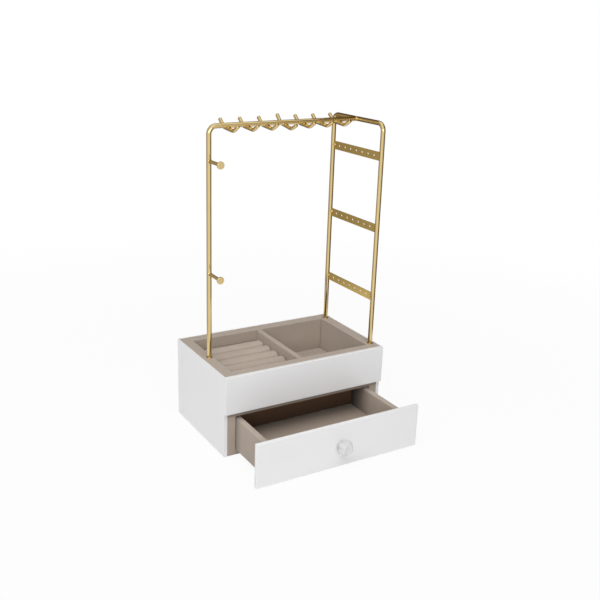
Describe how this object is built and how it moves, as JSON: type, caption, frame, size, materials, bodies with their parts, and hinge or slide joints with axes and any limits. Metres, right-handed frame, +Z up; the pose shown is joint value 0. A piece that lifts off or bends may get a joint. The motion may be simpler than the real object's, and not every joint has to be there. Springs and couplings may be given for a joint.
{
  "type": "jewellery box with drawer and necklace stand",
  "caption": "White jewellery box with a velvet tray for rings, a velvet drawer with a crystal knob, and a gold rod frame with necklace hooks, pegs and pierced earring strips.",
  "frame": {"origin": "centre of the underside of the felt, on the surface the box stands on", "axes": "+Z up, -Y towards the drawer's front, +X to the viewer's right"},
  "size_m": [0.25, 0.2623, 0.4376],
  "materials": {
    "white_lacquer": "white satin-gloss lacquer on fibreboard",
    "velvet_board": "fibreboard wrapped in greige short-pile velvet",
    "velvet_foam": "foam covered in greige short-pile velvet",
    "base_felt": "greige felt",
    "gold_rod": "satin gold over steel rod",
    "gold_strip": "satin gold over steel sheet",
    "crystal": "clear cut crystal",
    "white_nylon": "white moulded nylon",
    "zinc_steel": "zinc-plated steel"
  },
  "bodies": {
    "case": {"side_panel_left": "white_lacquer", "side_panel_right": "white_lacquer", "back_panel": "white_lacquer", "front_fascia": "white_lacquer", "base_felt": "base_felt", "base_panel": "velvet_board", "guide_wall_left": "velvet_board", "guide_wall_right": "velvet_board", "tray_shelf": "velvet_board", "tray_wall_left": "velvet_board", "tray_wall_right": "velvet_board", "tray_wall_front": "velvet_board", "tray_wall_back": "velvet_board", "rim_frame": "velvet_board", "tray_divider": "velvet_board", "tray_pad": "velvet_foam", "ring_bed": "velvet_foam", "ring_roll_1": "velvet_foam", "ring_roll_2": "velvet_foam", "ring_roll_3": "velvet_foam", "ring_roll_4": "velvet_foam", "ring_roll_5": "velvet_foam", "side_loop": "gold_rod", "hook_rail": "gold_rod", "rail_collar": "gold_rod", "loop_collar_back": "gold_rod", "loop_collar_front": "gold_rod", "hook_1": "gold_rod", "hook_2": "gold_rod", "hook_3": "gold_rod", "hook_4": "gold_rod", "hook_5": "gold_rod", "hook_6": "gold_rod", "hook_7": "gold_rod", "upper_peg": "gold_rod", "upper_peg_cap": "gold_rod", "lower_peg": "gold_rod", "lower_peg_cap": "gold_rod", "earring_strip_1": "gold_strip", "earring_strip_2": "gold_strip", "earring_strip_3": "gold_strip"},
    "drawer": {"drawer_front": "white_lacquer", "drawer_side_left": "velvet_board", "drawer_side_right": "velvet_board", "drawer_back": "velvet_board", "drawer_inner_front": "velvet_board", "drawer_bottom": "velvet_board", "drawer_pad": "velvet_foam", "knob_crystal": "crystal", "knob_insert": "white_nylon", "knob_screw": "zinc_steel", "knob_washer": "zinc_steel"}
  },
  "joints": [
    {"name": "drawer_slide", "type": "slide", "parent": "case", "child": "drawer", "axis": [0, -1, 0], "range_m": [-0.08695, 0.02305]}
  ]
}
